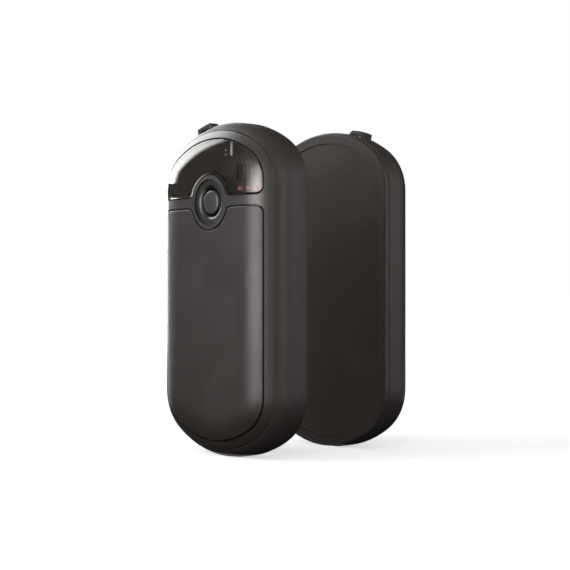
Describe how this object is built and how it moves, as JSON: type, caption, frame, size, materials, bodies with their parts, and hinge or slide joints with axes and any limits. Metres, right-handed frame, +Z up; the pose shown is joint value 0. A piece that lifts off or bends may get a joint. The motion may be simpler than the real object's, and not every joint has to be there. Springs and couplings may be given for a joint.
{
  "type": "rechargeable hand warmer",
  "caption": "Pair of slim rounded magnetic hand warmers, pulled apart: crowned heating panel, smoked window, press button, lanyard bar, charging socket and flat mating faces.",
  "frame": {"origin": "on the surface under the upright pair, midway between the two mating faces, on the middle plane", "axes": "+Z up along the length of the units, -Y the way the first unit's front faces, +Y the pulling-apart axis"},
  "size_m": [0.052, 0.059, 0.0952],
  "materials": {
    "shell": "fine satin texture",
    "frame": "satin",
    "panel": "satin soft-touch paint on aluminium",
    "smoked_window": "clear gloss, smoke tint",
    "collar": "gloss",
    "button": "satin",
    "inlay": "satin",
    "lanyard": "fine ribs",
    "magnet": "nickel plate",
    "steel": "bright",
    "inner_plastic": "moulded",
    "battery_foil": "foil pouch",
    "foam": "closed-cell foam",
    "lead": "silicone sleeve",
    "film": "polyimide film",
    "chip": "moulded package",
    "board": "solder mask",
    "level_light": "clear package",
    "light_pipe": "tinted, polished",
    "tray": "gloss"
  },
  "bodies": {
    "front_unit": {"main_shell_1": "shell", "front_frame_1": "frame", "heat_panel_1": "panel", "window_1": "smoked_window", "button_collar_1": "collar", "back_cover_1": "shell", "back_inlay_1": "inlay", "lanyard_bar_1": "lanyard", "magnets_1": "magnet", "case_screws_1": "steel", "chassis_1": "inner_plastic", "battery_1": "battery_foil", "battery_pad_1": "foam", "battery_leads_1": "lead", "insulation_pad_1": "foam", "heater_film_1": "film", "thermistor_1": "chip", "heater_leads_1": "lead", "main_board_1": "board", "board_parts_1": "chip", "tact_switch_1": "chip", "level_leds_1": "level_light", "light_pipes_1": "light_pipe", "window_tray_1": "tray", "port_board_1": "board", "usb_socket_1": "steel", "usb_tongue_1": "chip"},
    "front_button": {"button_cap_1": "button", "switch_stem_1": "inner_plastic"},
    "rear_unit": {"main_shell_2": "shell", "front_frame_2": "frame", "heat_panel_2": "panel", "window_2": "smoked_window", "button_collar_2": "collar", "back_cover_2": "shell", "back_inlay_2": "inlay", "lanyard_bar_2": "lanyard", "magnets_2": "magnet", "case_screws_2": "steel", "chassis_2": "inner_plastic", "battery_2": "battery_foil", "battery_pad_2": "foam", "battery_leads_2": "lead", "insulation_pad_2": "foam", "heater_film_2": "film", "thermistor_2": "chip", "heater_leads_2": "lead", "main_board_2": "board", "board_parts_2": "chip", "tact_switch_2": "chip", "level_leds_2": "level_light", "light_pipes_2": "light_pipe", "window_tray_2": "tray", "port_board_2": "board", "usb_socket_2": "steel", "usb_tongue_2": "chip"},
    "rear_button": {"button_cap_2": "button", "switch_stem_2": "inner_plastic"}
  },
  "joints": [
    {"name": "unit_pull", "type": "slide", "parent": "front_unit", "child": "rear_unit", "axis": [0, 1, 0], "range_m": [-0.0309, 0]},
    {"name": "front_button_press", "type": "slide", "parent": "front_unit", "child": "front_button", "axis": [0, 1, 0], "range_m": [0, 0.0004], "stiffness_N_per_m": 2000},
    {"name": "rear_button_press", "type": "slide", "parent": "rear_unit", "child": "rear_button", "axis": [0, -1, 0], "range_m": [0, 0.0004], "stiffness_N_per_m": 2000}
  ]
}
